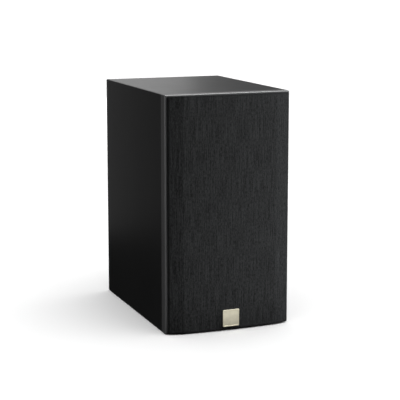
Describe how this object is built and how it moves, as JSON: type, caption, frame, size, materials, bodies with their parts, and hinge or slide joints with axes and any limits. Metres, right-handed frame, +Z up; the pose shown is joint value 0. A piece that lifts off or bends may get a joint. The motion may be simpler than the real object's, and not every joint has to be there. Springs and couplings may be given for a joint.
{
  "type": "bookshelf loudspeaker",
  "caption": "Two-way bookshelf speaker: black box cabinet, pull-off cloth grille with a plain badge, woofer, dome tweeter, rear port and screw terminals.",
  "frame": {"origin": "middle of the underside of the whole speaker, grille, badge and terminal flange included", "axes": "+Z up, the front faces -Y, +X to the right of someone looking at the front"},
  "size_m": [0.163, 0.2444, 0.292],
  "materials": {
    "cabinet_vinyl": "smooth satin black vinyl wrap on fibreboard",
    "baffle_lacquer": "satin black lacquer on fibreboard",
    "grille_cloth": "heathered charcoal weave",
    "black_plastic": "finely textured",
    "satin_champagne": "satin, pale champagne",
    "cone_paper": "pressed fibre, dark red-brown",
    "black_rubber": "matt",
    "dome_silk": "coated fine weave",
    "steel": "zinc-plated",
    "black_steel": "black, satin",
    "ferrite": "matt, ground faces",
    "copper_wire": "enamelled copper winding",
    "former_paper": "smooth kraft",
    "spider_cloth": "open weave set in resin",
    "wadding": "loose white fibre",
    "gold_plate": "polished gold plate",
    "red_plastic": "satin",
    "circuit_board": "bare paper laminate",
    "capacitor_film": "taped film",
    "resistor_ceramic": "matt, cemented",
    "wire_sheath": "smooth"
  },
  "bodies": {
    "cabinet": {"top_panel": "cabinet_vinyl", "left_side_panel": "cabinet_vinyl", "bottom_panel": "cabinet_vinyl", "right_side_panel": "cabinet_vinyl", "back_panel": "cabinet_vinyl", "front_baffle": "baffle_lacquer", "damping_wadding": "wadding", "port_tube": "black_plastic", "woofer_basket": "black_steel", "woofer_trim_ring": "black_plastic", "woofer_surround": "black_rubber", "woofer_spider": "spider_cloth", "woofer_top_plate": "steel", "woofer_magnet": "ferrite", "woofer_yoke": "steel", "woofer_screw_1": "black_steel", "woofer_screw_2": "black_steel", "woofer_screw_3": "black_steel", "woofer_screw_4": "black_steel", "tweeter_faceplate": "black_plastic", "tweeter_suspension": "dome_silk", "tweeter_top_plate": "steel", "tweeter_magnet": "ferrite", "tweeter_yoke": "steel", "tweeter_screw_1": "black_steel", "tweeter_screw_2": "black_steel", "tweeter_screw_3": "black_steel", "tweeter_screw_4": "black_steel", "terminal_cup": "black_plastic", "cup_screw_1": "black_steel", "cup_screw_2": "black_steel", "cup_screw_3": "black_steel", "cup_screw_4": "black_steel", "post_stud_red": "gold_plate", "post_stud_black": "gold_plate", "crossover_board": "circuit_board", "woofer_inductor": "copper_wire", "tweeter_inductor": "copper_wire", "tweeter_capacitor": "capacitor_film", "tweeter_resistor": "resistor_ceramic", "woofer_lead": "wire_sheath", "tweeter_lead": "wire_sheath", "grille_peg_cup_1": "black_rubber", "grille_peg_cup_2": "black_rubber", "grille_peg_cup_3": "black_rubber", "grille_peg_cup_4": "black_rubber"},
    "grille": {"grille_frame": "black_plastic", "grille_cloth": "grille_cloth", "badge": "satin_champagne"},
    "woofer_diaphragm": {"woofer_cone": "cone_paper", "woofer_dust_cap": "black_rubber", "woofer_coil_former": "former_paper", "woofer_voice_coil": "copper_wire"},
    "tweeter_diaphragm": {"tweeter_dome": "dome_silk", "tweeter_voice_coil": "copper_wire"},
    "red_post_washer": {"post_washer_red": "gold_plate"},
    "red_post_cap": {"post_cap_red": "red_plastic"},
    "black_post_washer": {"post_washer_black": "gold_plate"},
    "black_post_cap": {"post_cap_black": "black_plastic"}
  },
  "joints": [
    {"name": "grille_pull", "type": "slide", "parent": "cabinet", "child": "grille", "axis": [0, -1, 0], "range_m": [0, 0.06]},
    {"name": "woofer_travel", "type": "slide", "parent": "cabinet", "child": "woofer_diaphragm", "axis": [0, -1, 0], "range_m": [-0.0035, 0.0035], "stiffness_N_per_m": 1000, "deforming": ["woofer_surround", "woofer_spider"]},
    {"name": "tweeter_travel", "type": "slide", "parent": "cabinet", "child": "tweeter_diaphragm", "axis": [0, -1, 0], "range_m": [-0.0003, 0.0003], "stiffness_N_per_m": 3000, "deforming": ["tweeter_suspension"]},
    {"name": "red_post_travel", "type": "slide", "parent": "cabinet", "child": "red_post_washer", "axis": [0, 1, 0], "range_m": [0, 0.004]},
    {"name": "red_post_turn", "type": "hinge", "parent": "red_post_washer", "child": "red_post_cap", "pos_m": [0.013, 0.11155, 0.088], "axis": [0, 1, 0], "range_deg": [0, 1800]},
    {"name": "black_post_travel", "type": "slide", "parent": "cabinet", "child": "black_post_washer", "axis": [0, 1, 0], "range_m": [0, 0.004]},
    {"name": "black_post_turn", "type": "hinge", "parent": "black_post_washer", "child": "black_post_cap", "pos_m": [-0.013, 0.11155, 0.088], "axis": [0, 1, 0], "range_deg": [0, 1800]}
  ],
  "couplings": [
    {"joint": "red_post_turn", "follows": "red_post_travel", "rad_per_m": 7854},
    {"joint": "black_post_turn", "follows": "black_post_travel", "rad_per_m": 7854}
  ]
}
